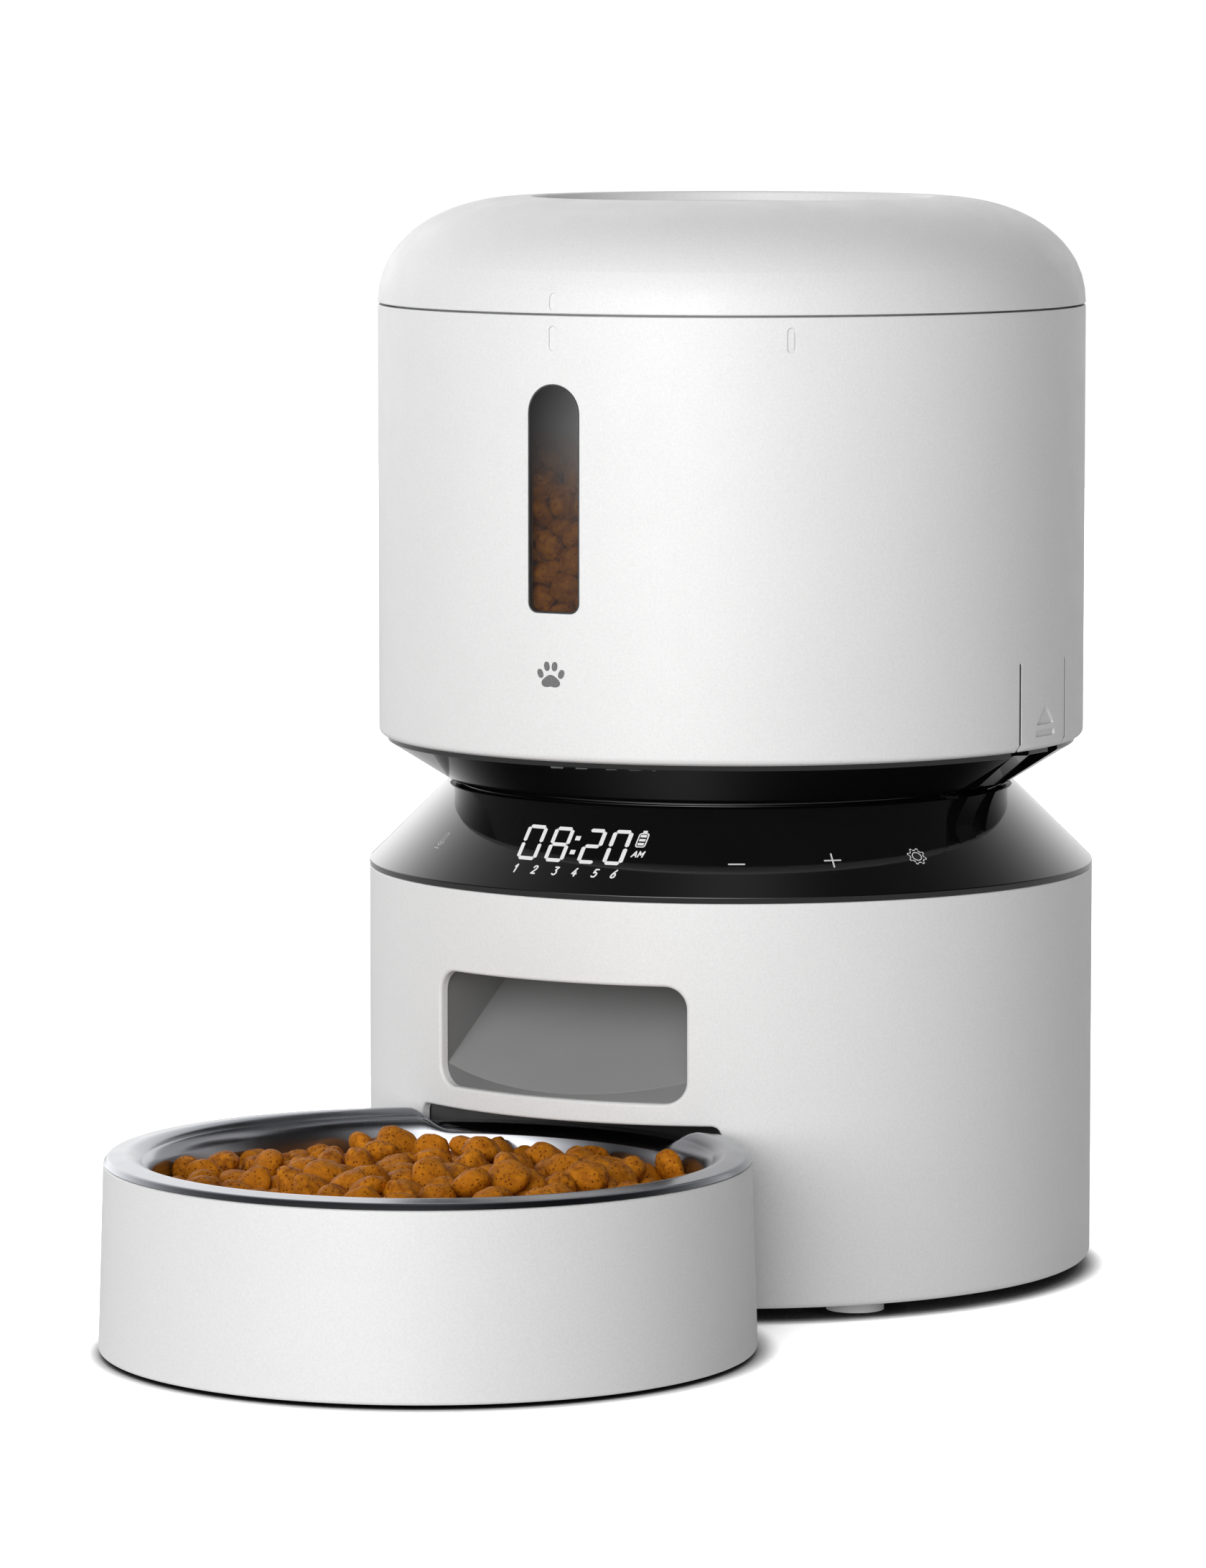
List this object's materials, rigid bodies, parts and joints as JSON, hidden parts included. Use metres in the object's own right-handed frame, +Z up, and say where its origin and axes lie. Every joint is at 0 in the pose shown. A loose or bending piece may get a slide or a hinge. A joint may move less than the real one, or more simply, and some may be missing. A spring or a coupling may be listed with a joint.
{
  "type": "automatic pet feeder",
  "caption": "Round dry-food feeder: twist-lid hopper with sight window over a geared portion rotor, sloped chute and pull-out stand with steel bowl.",
  "frame": {"origin": "middle of the footprint of base and bowl together, on the floor", "axes": "+Z up, front (outlet and bowl) towards -Y, +X to the right seen from the front's back; the feeder's turning axis stands at Y = +71 mm"},
  "size_m": [0.193, 0.335, 0.2855],
  "materials": {
    "white_plastic": "fine matte grain",
    "gloss_black": "piano gloss",
    "black_plastic": "fine spark-eroded texture",
    "inner_plastic": "satin moulded",
    "smoked_window": "clear smoked, polished",
    "silicone": "soft translucent",
    "rubber": "soft matte",
    "stainless_steel": "spun, softly polished",
    "steel_hardware": "zinc plated",
    "gear_nylon": "natural nylon",
    "circuit_board": "solder mask",
    "battery_wrap": "printed film wrap",
    "speaker_black": "moulded",
    "sachet_paper": "non-woven paper"
  },
  "bodies": {
    "base": {"base_shell": "white_plastic", "control_cone": "gloss_black", "deck": "black_plastic", "chute": "inner_plastic", "bowl_bay": "black_plastic", "bottom_cover": "black_plastic", "base_feet": "rubber", "cover_screws": "steel_hardware", "battery_tray": "black_plastic", "battery_cells": "battery_wrap", "battery_contacts": "steel_hardware", "gearbox": "black_plastic", "idler_pin": "steel_hardware", "gear_motor": "steel_hardware", "main_board": "circuit_board", "display_module": "circuit_board", "touch_flex": "circuit_board", "microphone": "speaker_black", "speaker": "speaker_black", "dc_jack": "black_plastic"},
    "battery_door": {"battery_door": "black_plastic"},
    "output_drive": {"output_gear": "gear_nylon", "drive_shaft": "steel_hardware"},
    "idler": {"idler_gear": "gear_nylon"},
    "motor_rotor": {"motor_pinion": "gear_nylon", "motor_shaft": "steel_hardware"},
    "bowl": {"bowl_stand": "white_plastic", "steel_bowl": "stainless_steel", "bowl_pads": "rubber"},
    "hopper": {"hopper_shell": "white_plastic", "hopper_window": "smoked_window", "hopper_funnel": "inner_plastic", "neck_cone": "gloss_black", "port_shelf": "inner_plastic", "port_wiper": "silicone"},
    "release_right": {"release_tab_right": "white_plastic"},
    "release_left": {"release_tab_left": "white_plastic"},
    "rotor": {"portion_rotor": "inner_plastic", "rotor_blades": "silicone", "stirring_cap": "inner_plastic"},
    "lid_seal": {"lid_seal": "silicone"},
    "lid": {"lid_shell": "white_plastic", "lid_liner": "inner_plastic", "desiccant_sachet": "sachet_paper"},
    "desiccant_cover": {"desiccant_cover": "inner_plastic"}
  },
  "joints": [
    {"name": "hopper_lift", "type": "slide", "parent": "base", "child": "hopper", "axis": [0, 0, 1], "range_m": [0, 0.12]},
    {"name": "release_right_press", "type": "hinge", "parent": "hopper", "child": "release_right", "pos_m": [0.0906, 0.071, 0.166], "axis": [0, 1, 0], "range_deg": [0, 3], "stiffness_Nm_per_rad": 4},
    {"name": "release_left_press", "type": "hinge", "parent": "hopper", "child": "release_left", "pos_m": [-0.0906, 0.071, 0.166], "axis": [0, -1, 0], "range_deg": [0, 3], "stiffness_Nm_per_rad": 4},
    {"name": "lid_twist", "type": "hinge", "parent": "hopper", "child": "lid_seal", "pos_m": [0, 0.071, 0.255], "axis": [0, 0, 1], "range_deg": [0, 38.4]},
    {"name": "lid_lift", "type": "slide", "parent": "lid_seal", "child": "lid", "axis": [0, 0, 1], "range_m": [0, 0.07]},
    {"name": "desiccant_cover_turn", "type": "hinge", "parent": "lid", "child": "desiccant_cover", "pos_m": [0, 0.071, 0.248], "axis": [0, 0, 1], "range_deg": [0, 45]},
    {"name": "rotor_spin", "type": "hinge", "parent": "hopper", "child": "rotor", "pos_m": [0, 0.071, 0.11], "axis": [0, 0, 1], "continuous": true},
    {"name": "output_spin", "type": "hinge", "parent": "base", "child": "output_drive", "pos_m": [0, 0.071, 0.082], "axis": [0, 0, 1], "continuous": true},
    {"name": "idler_spin", "type": "hinge", "parent": "base", "child": "idler", "pos_m": [0, 0.107, 0.082], "axis": [0, 0, 1], "continuous": true},
    {"name": "pinion_spin", "type": "hinge", "parent": "base", "child": "motor_rotor", "pos_m": [0, 0.128, 0.082], "axis": [0, 0, 1], "continuous": true},
    {"name": "bowl_slide", "type": "slide", "parent": "base", "child": "bowl", "axis": [0, -1, 0], "range_m": [0, 0.09]},
    {"name": "battery_door_slide", "type": "slide", "parent": "base", "child": "battery_door", "axis": [0, 1, 0], "range_m": [0, 0.012]}
  ],
  "couplings": [
    {"joint": "output_spin", "follows": "rotor_spin", "ratio": 1},
    {"joint": "idler_spin", "follows": "rotor_spin", "ratio": -1.5714},
    {"joint": "pinion_spin", "follows": "rotor_spin", "ratio": 3.1429}
  ]
}
